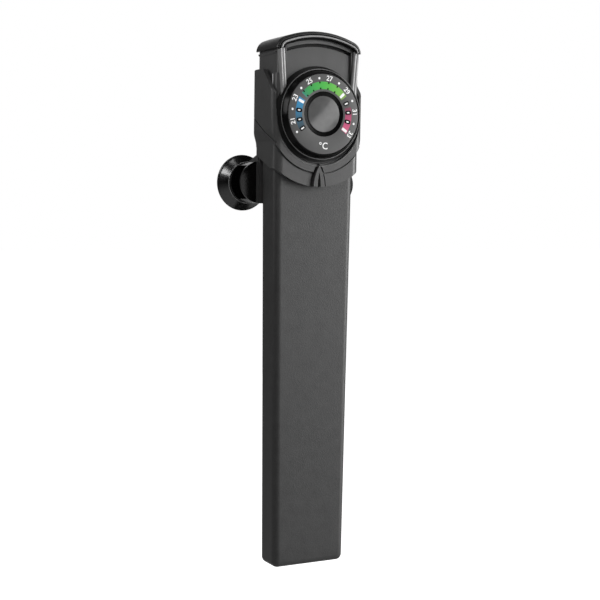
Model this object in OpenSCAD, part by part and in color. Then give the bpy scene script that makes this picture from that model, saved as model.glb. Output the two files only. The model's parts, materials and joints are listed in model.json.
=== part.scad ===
// Submersible aquarium heater: a flat tapered casing with a large temperature dial on its head,
// held on the glass by a moulded holder with two suction cups.
// Millimetres. The origin lies in the face of the glass, midway between the two suction cups.
// X is to the right, Y goes back into the glass and Z is up, so the dial faces -Y.

/* [Casing] */
// Depth from the dial's centre to the foot of the casing
casing_drop = 216.4; // [180:0.2:300]
// Width of the casing just under the head
casing_w = 42.5; // [35:0.1:52]
// Width of the casing at its foot
foot_w = 38.1; // [33:0.1:50]
// Depth of the casing, front to back
casing_d = 15.4; // [14.6:0.1:20]
// Radius of the casing's long edges and foot
casing_r = 3; // [1:0.1:5]
// Wall of the casing
casing_wall = 1.6; // [1:0.1:2]

/* [Head] */
// How far the head's front stands before the casing's front face
apron_t = 2.4; // [2:0.1:4]
// How far the head's back stands behind the casing's back face
head_rear = 3.3; // [2.6:0.1:6]
// Wall of the head
head_wall = 2; // [1.5:0.1:2.5]
// Height of the head's crown above the dial's centre
crown_z = 34.6; // [33:0.1:45]
// Radius of the arch over the head
arch_r = 50; // [40:1:80]
// Thickness of the cap at its crown
cap_t = 3.5; // [2.5:0.1:6]
// How far the cap stands out past the head's sides
cap_lap = 1.5; // [1.2:0.1:3]

/* [Dial] */
// Radius of the dial's grip flange
dial_r = 21.2; // [19:0.1:21.2]
// Radius of the printed scale
scale_r = 18.65; // [16:0.05:18.9]
// How far the dial's face stands before the head's front
dial_stand = 5.3; // [5:0.1:9]
// Radius of the cap in the middle of the dial
button_r = 8.45; // [6:0.05:9]
// Radius of the dial's spindle
spindle_r = 3; // [2:0.1:3.5]
// Number of grips round the dial
grips = 60; // [24:4:90]

/* [Holder] */
// Gap between the holder and what slides in it
holder_gap = 0.35; // [0.25:0.05:0.6]
// Wall of the wings beside the head
wing_wall = 1.85; // [1.5:0.05:4]
// Wall of the lower sleeve beside the casing
sleeve_wall = 1.1; // [0.8:0.1:2]
// Wall of the plate behind the casing
plate_wall = 2.15; // [1.8:0.05:4]
// Height of the wing tips above the dial's centre
wing_top = 21; // [12:0.5:26]
// How far the holder's front stands before the head's front
holder_lead = 1.2; // [0.8:0.1:2]
// Depth from the dial's centre to the holder's front lower edge
sleeve_drop = 33.9; // [31:0.1:40]

/* [Suction cups] */
// Distance from the casing's middle plane to the glass
glass_gap = 28.5; // [26:0.5:40]
// Depth from the dial's centre to the cups' centres
cup_drop = 32; // [28:0.5:60]
// Distance between the two cups' centres
cup_pitch = 42; // [36:0.5:60]
// Diameter of a cup's rim
cup_dia = 27.3; // [20:0.1:35]
// Radius of the round pad that carries a cup
pad_r = 10; // [8:0.5:12]
// Radius of a cup's neck
neck_r = 3; // [2:0.1:4]

/* [Heating element] */
// Height of one ceramic heating stone
stone_h = 20; // [12:1:24]
// Number of heating stones
stones = 5; // [2:1:6]
// Width of the flat tube round the stones
tube_w = 29; // [20:0.5:29]

/* [Cord inlet] */
// Radius of the hole that takes the cord
cord_hole_r = 3.2; // [2:0.1:4]

/* [Hidden] */
$fn = 64;

// Clearances and small steps that several pieces share
slip = 0.1;
running = 0.07;
past = 1;
far = 80;

// Heights, counted from the dial's centre
foot_z = -casing_drop;
shoulder_z = -16;
spigot_z = -10.5;
gasket_t = 0.6;
gasket_in = 0.25;
back_seat_z = -8;
apron_z = -1.5;

// Head; what is called front or back lies that far before or behind the casing's middle plane
head_front = casing_d / 2 + apron_t;
head_back = casing_d / 2 + head_rear;
head_w = casing_w - 0.1;
arch_z = crown_z - arch_r;
seam_gap = 0.6;
seam_r = arch_r + seam_gap;
cap_z = crown_z + seam_gap + cap_t;
cap_r = 50;
cap_half = head_w / 2 + cap_lap;
cap_shoulder = 6;
cap_front = head_front + 1;
cap_back = head_back + 1;
skirt_z = arch_z + sqrt(seam_r * seam_r - head_w * head_w / 4) - 0.8;
skirt_gap = 0.25;
head_r = 2.4;
head_back_r = 0.8;
socket_wall = 1;
spigot_wall = 1.2;
seat_w = 1.5;
throat_r = 0.6;
panel_half = head_w / 2 - 3.9;
panel_r = arch_r - 1.5;
panel_top_gap = 1.4;
panel_sink = 0.9;
panel_t = 0.8;
panel_gap_r = dial_r + 1.4;
front_wall = 1.6;
face_y = -head_front;
inner_front_y = -(head_front - panel_sink - panel_t - front_wall);
inner_back_y = head_back - head_wall;
trim_r = 0.95;
trim_half = 0.62;
trim_base = 0.3;
trim_x = head_w / 2 - 2.05;
trim_lean = 4;
ridge_drop = 1.3;
ridge_out = 0.8;
ridge_h = 1.2;
rail_top = 18.6;
rail_back = 4.9;
rail_out = 0.8;

// Dial, its spindle and the potentiometer; these lie at distances before the middle plane
dial_front = head_front + dial_stand;
holder_front = head_front + holder_lead;
flange_back = holder_front + holder_gap;
flange_front = dial_front - 2.7;
disc_t = 0.8;
rim_lip = 0.2;
ring_w = 2;
hub_r = 7;
hub_back = head_front - 1.5;
hub_pocket = 0.3;
boss_r = 9;
boss_in = head_front - 5.1;
seal_t = 1.4;
seal_r = 4.6;
spindle_end = dial_front - 3.2;
screw_r = 1.2;
screw_head_r = 2.7;
screw_head_h = 1.5;
pot_r = 8;
board_y = 2.6;
board_t = 1.6;
board_half = head_w / 2 - 4.2;
board_low = -13;
board_high = 30.5;
post_x = board_half - 2.4;
post_r = 2;
board_screw_r = 1;
post_low = -2.5;
post_high = 25;
guide_z = 28.2;
guide_r = 1.2;

// Heating element, built up from its middle plane
element_low = foot_z + 9;
stone_gap = 2.5;
stone_w = 22;
stone_half = 1.6;
electrode_t = 0.5;
film_t = 0.3;
film_r = 2;
tube_t = 0.8;
tube_r = 2.9;
soft_gap = 0.2;
electrode_face = stone_half + electrode_t;
film_in = electrode_face + slip;
film_out = film_in + film_t;
tube_in = film_out + slip;
tube_out = tube_in + tube_t;
plug_t = 3;
stack_low = element_low + plug_t + slip;
stack_high = stack_low + stones * (stone_h + stone_gap) - stone_gap;
tube_high = stack_high + plug_t + slip;
tab_w = 4;
tab_x = 7;
tab_z = tube_high + 3.5;
wire_r = 0.9;
wire_y = board_y - wire_r - slip;
fuse_low = tab_z + 3;
fuse_h = 11;
fuse_r = 2;
fuse_lead = 2;
lead_r = 0.5;
bulkhead_low = -34;
bulkhead_h = 8;
sensor_low = -54;
sensor_h = 12;
sensor_r = 1.7;
sensor_lead_x = 2;
cavity_d = casing_d - 2 * casing_wall;
sensor_y = -(cavity_d / 2 - sensor_r - slip);
spreader_t = cavity_d / 2 - tube_out - 2 * slip;

// Cord inlet
inlet_y = head_back + 7;
inlet_z = 10;
gland_r = 5.2;
bush_r = cord_hole_r + 1.1;
bush_low = 13.5;
nut_r = 6.4;
nut_low = 17;
nut_high = 27;
nut_lip = 3;
bush_high = nut_high - nut_lip;
cord_play = 0.3;

// Holder
shaft_half = casing_w / 2 + holder_gap;
shaft_depth = casing_d / 2 + holder_gap;
holder_back = shaft_depth + plate_wall;
holder_r = 4;
holder_back_r = 1;
pocket_r = head_w / 2 + rail_out + holder_gap;
wing_half = pocket_r + wing_wall;
sleeve_half = shaft_half + sleeve_wall;
flare_r = 13.4;
band_r = pocket_r + 4.25;
band_z = -1;
band_groove = 0.7;
groove_deep = 1.4;
band_step = 0.6;
edge_r = band_r + 8.4;
wing_slope_low = 7.8;
wing_slope_back = -0.6;
wing_slope_turn = 138;
wing_tip_r = 2;
waist_high = -7;
waist_low = -15;
crease_front = -14.6;
crease_back = -0.9;
crease_w = 0.6;
hem_front = -26.6;
hem_back = -18.9;
crease_deep = 0.45;
plate_low = -cup_drop - pad_r;
plate_high = back_seat_z - holder_gap;
tongue_half = 3.05;
tongue_tip = pocket_r - apron_z - 0.05;
notch_half = 4.3;
notch_deep = 2.1;
slot_half = 0.85;
slot_top = tongue_tip + 3.2;
tongue_proud = 0.8;

// Suction cups and the arms that carry them
rim_t = 0.8;
pad_back = glass_gap - 6;
pad_t = 2.5;
arm_wall = 2;
arm_in = 8;
cup_gap = 0.3;
hub_cup_r = 6.5;
button_cup_r = 4.8;
button_cup_t = 3.2;
contact_w = 1.1;

// Colours
plastic = [0.33, 0.33, 0.33];
grey_plastic = [0.40, 0.40, 0.40];
dark_plastic = [0.24, 0.24, 0.24];
gloss_black = [0.03, 0.03, 0.03];
bright_grey = [0.52, 0.52, 0.53];
soft_black = [0.06, 0.06, 0.06];
silicone = [0.55, 0.20, 0.15];
metal = [0.75, 0.76, 0.78];
copper = [0.80, 0.55, 0.35];

// Width of the casing at a height, along its straight taper
function width_at(z) = foot_w + (casing_w - foot_w) * (z - foot_z) / (shoulder_z - foot_z);

// Points of a circular arc in a drawing plane
function arc(cx, cy, r, from, to, steps = 8) =
    [for (i = [0 : steps]) let (a = from + (to - from) * i / steps) [cx + r * cos(a), cy + r * sin(a)]];

// Carries a shape drawn about the dial's centre into the part's own frame
module in_place() {
    translate([0, -glass_gap, cup_drop]) children();
}

// Extrudes a front view (x, z) from one depth to another
module front_view(y_from, y_to) {
    translate([0, y_to, 0]) rotate([90, 0, 0]) linear_extrude(y_to - y_from) children();
}

// Extrudes a side view (y, z) from one place across to another
module side_view(x_from, x_to) {
    translate([x_from, 0, 0]) rotate([90, 0, 90]) linear_extrude(x_to - x_from) children();
}

// Extrudes a plan from one height to another
module plan(z_from, z_to) {
    translate([0, 0, z_from]) linear_extrude(z_to - z_from) children();
}

// Turns a profile of (radius, distance forward) about the dial's axis
module turned() {
    rotate([90, 0, 0]) rotate_extrude() children();
}

// A rod along Y, given by how far forward its two ends lie
module rod(r, back, front) {
    rotate([90, 0, 0]) translate([0, 0, back]) cylinder(r = r, h = front - back);
}

// Rectangle with round corners
module rounded(w, d, r) {
    square([w - 2 * r, d], center = true);
    square([w, d - 2 * r], center = true);
    for (x = [-1, 1], y = [-1, 1])
        translate([x * (w / 2 - r), y * (d / 2 - r)]) circle(r);
}

// Plan of a block with one radius on its front corners and another on its back ones
module block_plan(w, front, back, front_r, back_r) {
    translate([0, (back - front) / 2]) {
        intersection() {
            rounded(w, front + back, front_r);
            translate([-far, -far]) square([2 * far, far + slip]);
        }
        intersection() {
            rounded(w, front + back, back_r);
            translate([-far, -slip]) square([2 * far, far]);
        }
    }
}

// Everything on or above a height, in a view
module above(z) {
    translate([-far, z]) square([2 * far, 4 * far]);
}

// Shows a shape and its mirror image on the other side
module both_sides() {
    children();
    mirror([1, 0, 0]) children();
}

// ---------- Casing ----------

// Tapered body of the casing, shrunk on every side by a wall, up to a height
module casing_body(wall, top) {
    r = casing_r - wall / 2;
    low = foot_z + wall + r;
    hull() {
        both_sides() for (y = [-1, 1]) {
            translate([width_at(low) / 2 - wall - r, y * (casing_d / 2 - wall - r), low])
                sphere(r, $fn = 32);
            translate([width_at(top) / 2 - wall - r, y * (casing_d / 2 - wall - r), top - past])
                cylinder(r = r, h = past, $fn = 32);
        }
    }
}

module casing() {
    spigot_w = casing_w - 2 * (socket_wall + slip);
    spigot_d = casing_d - 2 * (socket_wall + slip);
    roof = shoulder_z - 3;
    color(plastic) in_place() difference() {
        union() {
            casing_body(0, shoulder_z);
            plan(shoulder_z - past, spigot_z) rounded(spigot_w, spigot_d, casing_r - socket_wall);
        }
        casing_body(casing_wall, roof);
        plan(roof - past, spigot_z + past)
            rounded(spigot_w - 2 * spigot_wall, spigot_d - 2 * spigot_wall, throat_r);
    }
}

module casing_gasket() {
    inner_w = casing_w - 2 * socket_wall;
    inner_d = casing_d - 2 * socket_wall;
    color(silicone) in_place() plan(shoulder_z, shoulder_z + gasket_t) difference() {
        rounded(casing_w - 2 * gasket_in, casing_d - 2 * gasket_in, casing_r);
        rounded(inner_w, inner_d, casing_r - socket_wall);
    }
}

// ---------- Heating element ----------

module foot_cushion() {
    low = foot_z + casing_wall + soft_gap;
    w = tube_w + 2;
    d = cavity_d - 3 * soft_gap;
    rim = 2;
    color(silicone) in_place() difference() {
        union() {
            plan(low, low + casing_r) rounded(w - 2 * casing_r, d - 2 * casing_r, rim / 2);
            plan(low + casing_r, element_low + rim) rounded(w, d, rim);
        }
        plan(element_low, element_low + rim + past)
            rounded(tube_w + 2 * slip, 2 * (tube_out + slip), tube_r - 0.5);
    }
}

module heating_stones() {
    color([0.35, 0.33, 0.30]) in_place() for (i = [0 : stones - 1])
        translate([-stone_w / 2, -stone_half, stack_low + i * (stone_h + stone_gap)])
            cube([stone_w, 2 * stone_half, stone_h]);
}

// Strip on one face of the stones with a tab that stands up through the plug on one side
module electrode(y, side) {
    translate([-stone_w / 2, y, stack_low]) cube([stone_w, electrode_t, stack_high - stack_low]);
    translate([side * tab_x - tab_w / 2, y, stack_high - past])
        cube([tab_w, electrode_t, tab_z - stack_high + past]);
}

module electrode_front() {
    color(copper) in_place() {
        electrode(-electrode_face, -1);
        translate([-tab_x - tab_w / 2, -electrode_face, tab_z - electrode_t])
            cube([tab_w, electrode_face + wire_y + wire_r, electrode_t]);
    }
}

module electrode_back() {
    color(copper) in_place() electrode(stone_half, 1);
}

module insulating_sleeve() {
    color([0.75, 0.50, 0.15]) in_place() plan(stack_low, stack_high) difference() {
        rounded(tube_w - 2 * (tube_t + slip), 2 * film_out, film_r);
        rounded(tube_w - 2 * (tube_t + slip + film_t), 2 * film_in, film_r - film_t);
    }
}

module element_tube() {
    color(metal) in_place() plan(element_low, tube_high) difference() {
        rounded(tube_w, 2 * tube_out, tube_r);
        rounded(tube_w - 2 * tube_t, 2 * tube_in, tube_r - tube_t);
    }
}

// A silicone plug that closes one end of the tube
module tube_plug(low) {
    plan(low, low + plug_t) rounded(tube_w - 2 * (tube_t + slip), 2 * film_out, film_r);
}

module tube_plugs() {
    color(silicone) in_place() {
        tube_plug(element_low);
        difference() {
            tube_plug(stack_high + slip);
            for (s = [[-1, -electrode_face], [1, stone_half]])
                translate([s[0] * tab_x - tab_w / 2 - slip, s[1] - slip, stack_high])
                    cube([tab_w + 2 * slip, electrode_t + 2 * slip, plug_t + past]);
        }
    }
}

// Aluminium plate that carries the heat from the tube to the casing's wall
module spreader() {
    w = tube_w - 3;
    low = element_low + 3;
    h = tube_high - 2 - low;
    groove = 1.2;
    step = 4;
    translate([-w / 2, tube_out + slip, low]) difference() {
        cube([w, spreader_t, h]);
        for (x = [step - 1 : step : w - step + 1])
            translate([x, spreader_t / 2, -past]) cube([groove, spreader_t, h + 2 * past]);
    }
}

module spreader_front() {
    color(metal) in_place() mirror([0, 1, 0]) spreader();
}

module spreader_back() {
    color(metal) in_place() spreader();
}

module bulkhead() {
    w = width_at(bulkhead_low) - 2 * (casing_wall + soft_gap);
    color(silicone) in_place() difference() {
        plan(bulkhead_low, bulkhead_low + bulkhead_h) rounded(w, cavity_d - 2 * soft_gap, casing_r / 2);
        both_sides() translate([tab_x, wire_y, bulkhead_low - past])
            cylinder(r = wire_r + slip, h = bulkhead_h + 2 * past);
        both_sides() translate([sensor_lead_x, sensor_y, bulkhead_low - past])
            cylinder(r = lead_r + slip, h = bulkhead_h + 2 * past);
    }
}

module thermal_fuse() {
    color([0.85, 0.80, 0.70]) in_place() translate([-tab_x, wire_y, fuse_low]) {
        cylinder(r = fuse_r, h = fuse_h);
        translate([0, 0, -fuse_lead]) cylinder(r = lead_r, h = fuse_h + 2 * fuse_lead);
    }
}

module temperature_sensor() {
    lead_top = board_low + 4;
    color([0.12, 0.12, 0.14]) in_place() {
        translate([0, sensor_y, sensor_low + sensor_r]) sphere(sensor_r);
        translate([0, sensor_y, sensor_low + sensor_r]) cylinder(r = sensor_r, h = sensor_h);
        translate([-sensor_lead_x, sensor_y - lead_r, sensor_low + sensor_h])
            cube([2 * sensor_lead_x, 2 * lead_r, 2 * lead_r]);
        both_sides() translate([sensor_lead_x, sensor_y, sensor_low + sensor_h]) {
            cylinder(r = lead_r, h = lead_top - sensor_low - sensor_h);
            translate([0, 0, lead_top - sensor_low - sensor_h]) sphere(lead_r);
            translate([0, 0, lead_top - sensor_low - sensor_h]) rotate([-90, 0, 0])
                cylinder(r = lead_r, h = board_y - slip - sensor_y);
        }
    }
}

module lead_wires() {
    top = board_low + 7;
    low = tab_z + soft_gap;
    below = fuse_low - fuse_lead - soft_gap;
    above = fuse_low + fuse_h + fuse_lead + soft_gap;
    color([0.55, 0.12, 0.10]) in_place() {
        translate([-tab_x, wire_y, low]) cylinder(r = wire_r, h = below - low);
        translate([-tab_x, wire_y, above]) cylinder(r = wire_r, h = top - above);
        translate([tab_x, wire_y, low]) cylinder(r = wire_r, h = top - low);
    }
}

// ---------- Head ----------

// Front view of the head: arched top, straight sides and a round apron
module head_outline(grow = 0) {
    half = head_w / 2 + grow;
    intersection() {
        translate([0, arch_z]) circle(arch_r + grow, $fn = 180);
        translate([-half - slip, apron_z]) square([2 * (half + slip), far]);
    }
    translate([0, apron_z]) circle(half);
}

// Front view of the sunk panel's seat over the dial, drawn in by a gap at its sides and another at its top
module panel_outline(side_gap = 0, top_gap = 0) {
    half = panel_half - side_gap;
    intersection() {
        translate([0, arch_z]) circle(panel_r - top_gap, $fn = 180);
        translate([-half, 8]) square([2 * half, far]);
    }
}

// Plan of the head, grown at its sides
module head_plan(grow = 0) {
    block_plan(head_w + 2 * grow, head_front, head_back, head_r, head_back_r);
}

// Raised rail down the front of one side of the head, which guides it between the holder's wings
module head_rail() {
    intersection() {
        front_view(face_y, -rail_back) translate([head_w / 2 - 1, apron_z])
            square([1 + rail_out, rail_top - apron_z]);
        plan(-far, far) head_plan(rail_out);
    }
}

// Outer block of the head, with its front apron before the casing and its back ending on the seat
module head_block() {
    intersection() {
        front_view(face_y, 0) head_outline();
        plan(-far, far) head_plan();
    }
    intersection() {
        front_view(-slip, head_back) intersection() {
            head_outline();
            above(back_seat_z);
        }
        plan(-far, far) head_plan();
    }
    plan(shoulder_z + gasket_t, 0) rounded(casing_w, casing_d, casing_r);
    both_sides() head_rail();
    both_sides() front_view(face_y + head_r + slip, head_back - head_back_r - slip)
        translate([head_w / 2, skirt_z - ridge_drop]) polygon([[-1, 0], [ridge_out, 0],
            [ridge_out, -ridge_h / 4], [0, -ridge_h], [-1, -ridge_h]]);
}

// Hollow of the head, open upwards, with the casing's socket below
module head_hollow() {
    front_view(inner_front_y, inner_back_y) translate([-head_w / 2 + head_wall, back_seat_z + head_wall])
        square([head_w - 2 * head_wall, far]);
    plan(shoulder_z - past, back_seat_z + head_wall + past)
        rounded(casing_w - 2 * (socket_wall + seat_w), casing_d - 2 * (socket_wall + seat_w), throat_r);
    plan(shoulder_z - past, spigot_z + slip)
        rounded(casing_w - 2 * socket_wall, casing_d - 2 * socket_wall, casing_r - socket_wall);
}

module head_housing() {
    color(grey_plastic) in_place() difference() {
        union() {
            difference() {
                head_block();
                head_hollow();
            }
            rod(boss_r, boss_in, head_front - slip);
            for (x = [-1, 1], z = [post_low, post_high]) translate([x * post_x, 0, z])
                rod(post_r, -inner_back_y - past, -board_y - board_t);
        }
        translate([-far, -casing_d / 2, -far]) cube([2 * far, far, far + shoulder_z + gasket_t]);
        front_view(face_y - past, face_y + panel_sink + panel_t) panel_outline();
        rod(hub_r + hub_pocket, hub_back - hub_pocket, head_front + past);
        rod(spindle_r + running, boss_in - past, head_front + past);
        rod(seal_r, boss_in - past, boss_in + seal_t + slip);
        translate([0, 0, guide_z]) rod(guide_r + slip, 0, head_front);
        translate([0, 0, inlet_z]) rod(gland_r - 1 + slip, -head_back - past, -inner_back_y + past);
        for (x = [-1, 1], z = [post_low, post_high]) translate([x * post_x, 0, z])
            rod(board_screw_r + 0.05, -board_y - board_t - 4, -board_y);
    }
}

module front_panel() {
    color(grey_plastic) in_place() front_view(face_y + panel_sink, face_y + panel_sink + panel_t)
        difference() {
            panel_outline(0.15, panel_top_gap);
            circle(panel_gap_r);
        }
}

// Polished double rib down one front corner of the head, ending clear of the dial
module corner_trim() {
    difference() {
        translate([trim_x, 0, crown_z / 2]) rotate([0, trim_lean, 0]) {
            for (x = [-trim_half, trim_half]) translate([x, face_y, -crown_z / 2])
                cylinder(r = trim_r, h = crown_z);
            translate([-trim_half - trim_r, face_y - trim_base, -crown_z / 2])
                cube([2 * (trim_half + trim_r), trim_base + head_r / 3, crown_z]);
        }
        plan(-far, far) head_plan();
        head_rail();
        rod(dial_r + 0.5, 0, dial_front);
        translate([-far, -far, -2 * far]) cube([2 * far, 2 * far, 2 * far]);
        front_view(face_y - 4, face_y + 1) difference() {
            above(0);
            translate([0, arch_z]) circle(arch_r - 0.6, $fn = 180);
        }
    }
}

module corner_trim_left() {
    color(bright_grey) in_place() mirror([1, 0, 0]) corner_trim();
}

module corner_trim_right() {
    color(bright_grey) in_place() corner_trim();
}

module cap_gasket() {
    color(soft_black) in_place() intersection() {
        front_view(face_y, head_back) difference() {
            translate([0, arch_z]) circle(seam_r - slip / 2, $fn = 180);
            translate([0, arch_z]) circle(arch_r + slip / 2, $fn = 180);
        }
        plan(0, far) translate([0, (head_back - head_front) / 2]) difference() {
            rounded(head_w - 1, head_front + head_back - 1, head_r);
            square([head_w - 2 * head_wall, head_front + head_back - 2 * head_wall], center = true);
        }
    }
}

// Front view of the cap's outside, drawn in from its full size by an inset
module cap_outline(inset) {
    half = cap_half - inset;
    arch = cap_r - inset;
    turn = asin((cap_half - cap_shoulder) / (cap_r - cap_shoulder));
    shoulder_x = cap_half - cap_shoulder;
    shoulder_y = cap_z - cap_r + (cap_r - cap_shoulder) * cos(turn);
    intersection() {
        translate([0, cap_z - cap_r]) circle(arch, $fn = 180);
        translate([-arch * sin(turn), crown_z / 2]) square([2 * arch * sin(turn), far]);
    }
    for (x = [-1, 1]) translate([x * shoulder_x, shoulder_y]) circle(cap_shoulder - inset);
    translate([-half, crown_z / 2]) square([2 * half, shoulder_y - crown_z / 2]);
}

// Front view of the room for the head under the cap
module cap_mouth() {
    half = head_w / 2 + skirt_gap;
    intersection() {
        translate([0, arch_z]) circle(seam_r, $fn = 180);
        translate([-half, -far]) square([2 * half, 2 * far]);
    }
}

module top_cap() {
    roll = [[0, 1.1], [0.35, 0.35], [1.1, 0]];
    groove_in = 1.8;
    groove_w = 0.4;
    lip_in = 3;
    lip_proud = 0.6;
    rib_t = 1.2;
    rib_gap = 0.2;
    room = [head_w - 2 * (head_wall + rib_gap), inner_back_y - inner_front_y - 2 * rib_gap];
    color(dark_plastic) in_place() difference() {
        union() {
            difference() {
                hull() for (s = roll) {
                    front_view(-cap_front + s[0], 0) cap_outline(s[1]);
                    front_view(0, cap_back - s[0]) cap_outline(s[1]);
                }
                translate([-far, -far, -far]) cube([2 * far, 2 * far, far + skirt_z]);
                front_view(-cap_front - past, cap_back + past) cap_mouth();
            }
            difference() {
                hull() {
                    front_view(-cap_front - lip_proud, -cap_front) cap_outline(lip_in);
                    front_view(-cap_front, -cap_front + past) cap_outline(groove_in + slip);
                }
                translate([-far, -far, -far]) cube([2 * far, 2 * far, far + skirt_z]);
                front_view(-cap_front - past, cap_back + past) cap_mouth();
            }
            intersection() {
                plan(guide_z + guide_r + 0.5, far) translate([0, (inner_back_y + inner_front_y) / 2])
                    difference() {
                        square(room, center = true);
                        square([room[0] - 2 * rib_t, room[1] - 2 * rib_t], center = true);
                    }
                front_view(-far, far) translate([0, arch_z]) circle(seam_r + 0.5, $fn = 180);
            }
        }
        front_view(-cap_front - past, -cap_front + groove_w) difference() {
            cap_outline(groove_in - groove_w);
            cap_outline(groove_in);
            translate([-far, -far]) square([2 * far, far + skirt_z]);
        }
    }
}

// ---------- Electronics ----------

module control_board() {
    color([0.10, 0.30, 0.16]) in_place() difference() {
        front_view(board_y, board_y + board_t) intersection() {
            translate([-board_half, board_low]) square([2 * board_half, board_high - board_low]);
            translate([0, arch_z]) circle(arch_r - 3, $fn = 180);
        }
        for (x = [-1, 1], z = [post_low, post_high]) translate([x * post_x, 0, z])
            rod(board_screw_r + 0.3, -board_y - board_t - past, -board_y + past);
    }
}

module board_screws() {
    head_h = 1.2;
    reach = 3.6;
    color(metal) in_place() for (x = [-1, 1], z = [post_low, post_high]) translate([x * post_x, 0, z]) {
        rod(2 * board_screw_r, -board_y + 0.02, -board_y + head_h);
        rod(board_screw_r, -board_y - board_t - reach, -board_y + head_h / 2);
    }
}

module potentiometer() {
    color([0.15, 0.25, 0.45]) in_place() difference() {
        union() {
            rod(pot_r, -board_y + slip, boss_in - slip);
            for (x = [-4, 0, 4]) translate([x - 0.6, board_y - slip - 1.4, -pot_r - 3]) cube([1.2, 1.4, 4]);
        }
        rod(spindle_r + running, 0.5, boss_in + past);
    }
}

// A box-shaped part of a size that stands off the board's front, with its left bottom corner at (x, z)
module on_board(x, z, size) {
    translate([x, board_y - slip - size[1], z]) cube(size);
}

module relay() {
    color([0.10, 0.20, 0.35]) in_place() on_board(-13, pot_r + 1.5, [12, 6.9, 13]);
}

module capacitor() {
    color([0.75, 0.65, 0.20]) in_place() on_board(2, pot_r + 1.5, [9.5, 5.1, 12]);
}

module board_components() {
    back = board_y + board_t + slip;
    color([0.25, 0.22, 0.20]) in_place() {
        translate([-9, back, -3]) cube([8, 1.6, 6]);
        translate([4, back, -4]) cube([6, 2.2, 4.5]);
        translate([8, back + 1.7, 16]) rotate([0, 90, 0]) cylinder(r = 1.6, h = 5);
        translate([-10, back, 16]) cube([5, 2.5, 5]);
        for (x = [-3, 0, 3]) translate([x, back, 20]) cube([1.6, 0.8, 3.2]);
    }
}

module status_led() {
    led_w = 3;
    color([0.85, 0.15, 0.10]) in_place() on_board(-led_w / 2, guide_z - led_w / 2, [led_w, 1, led_w]);
}

module light_guide() {
    color([0.9, 0.9, 0.9, 0.5]) in_place() translate([0, 0, guide_z])
        rod(guide_r, -board_y + 1.2, -face_y - panel_sink - panel_t - 0.02);
}

// ---------- Cord inlet ----------

module gland_body() {
    color(soft_black) in_place() difference() {
        union() {
            translate([0, 0, inlet_z]) rod(gland_r - 1, -inlet_y, -inner_back_y);
            translate([0, 0, inlet_z]) rod(gland_r + 1.2, -head_back - 1.6, -head_back - 0.02);
            plan(inlet_z - gland_r, bush_high) translate([0, inlet_y]) circle(gland_r);
        }
        translate([0, 0, inlet_z]) rod(gland_r - 2.6, -inlet_y, -inner_back_y + past);
        translate([0, inlet_y, inlet_z - 1]) cylinder(r = cord_hole_r + cord_play, h = far);
        translate([0, inlet_y, bush_low]) cylinder(r = bush_r + 0.02, h = far);
    }
}

module gland_bush() {
    color([0.12, 0.12, 0.12]) in_place() translate([0, inlet_y, bush_low]) difference() {
        cylinder(r = bush_r, h = bush_high - bush_low);
        translate([0, 0, -past]) cylinder(r = cord_hole_r, h = far);
    }
}

module gland_nut() {
    chamfer = 1;
    flute_r = 0.8;
    color(soft_black) in_place() translate([0, inlet_y, 0]) difference() {
        union() {
            plan(nut_low, nut_high - chamfer) circle(nut_r);
            translate([0, 0, nut_high - chamfer]) cylinder(r1 = nut_r, r2 = nut_r - chamfer, h = chamfer);
        }
        plan(nut_low - past, bush_high + slip) circle(gland_r + 0.05);
        cylinder(r = cord_hole_r + cord_play, h = far);
        for (a = [0 : 30 : 330]) rotate(a) translate([nut_r + flute_r - 0.5, 0, nut_low - past])
            cylinder(r = flute_r, h = far, $fn = 24);
    }
}

// ---------- Dial ----------

module spindle_seal() {
    color(soft_black) in_place() difference() {
        rod(seal_r - 0.02, boss_in, boss_in + seal_t);
        rod(spindle_r + 0.05, boss_in - past, boss_in + seal_t + past);
    }
}

// The spindle's flatted end, which drives the dial
module drive_end(r, back, front) {
    difference() {
        rod(r, back, front);
        translate([-far / 2, -far, r - 0.6]) cube([far, 2 * far, far]);
    }
}

module spindle() {
    color(metal) in_place() difference() {
        union() {
            rod(spindle_r, 0.7, hub_back);
            drive_end(spindle_r, hub_back - slip, spindle_end);
        }
        rod(screw_r + 0.03, spindle_end - 6, spindle_end + past);
    }
}

// Outline of the grip flange, with a shallow hollow between neighbouring grips
module grip_outline() {
    step = 360 / grips;
    shape = [[0, 1], [0.35, 1], [0.5, 0], [0.85, 0]];
    polygon([for (i = [0 : grips - 1], s = shape)
        let (a = (i + s[0]) * step, r = dial_r - 0.35 * (1 - s[1])) [r * cos(a), r * sin(a)]]);
}

module dial_knob() {
    cone_r = dial_r - 0.45;
    face = dial_front - disc_t;
    color(gloss_black) in_place() difference() {
        union() {
            rotate([90, 0, 0]) translate([0, 0, flange_back])
                linear_extrude(flange_front - flange_back) grip_outline();
            turned() polygon([[0, flange_back + 0.4], [cone_r, flange_back + 0.4], [cone_r, flange_front],
                [scale_r + 0.75, dial_front - 0.3], [scale_r + 0.5, dial_front + rim_lip],
                [scale_r + 0.1, dial_front + rim_lip], [scale_r + 0.1, face],
                [button_r + ring_w, face], [button_r + ring_w, dial_front],
                [button_r + ring_w - 0.5, dial_front + 0.2],
                [button_r + 0.6, dial_front + 0.2], [button_r + 0.1, dial_front - 0.2],
                [button_r + 0.1, face - 0.4], [0, face - 0.4]]);
            rod(hub_r, hub_back, face - 1);
        }
        difference() {
            rod(scale_r, flange_back - past, face - 1.6);
            rod(hub_r, 0, dial_front);
            for (a = [0 : 30 : 150]) rotate([0, a, 0])
                translate([-far, -face, -0.6]) cube([2 * far, face - flange_back - 0.4, 1.2]);
        }
        drive_end(spindle_r + 0.03, hub_back - past, spindle_end + 0.02);
        rod(screw_r + 0.2, spindle_end, dial_front);
        rod(screw_head_r + 0.2, spindle_end + 0.4, dial_front);
    }
}

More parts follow.
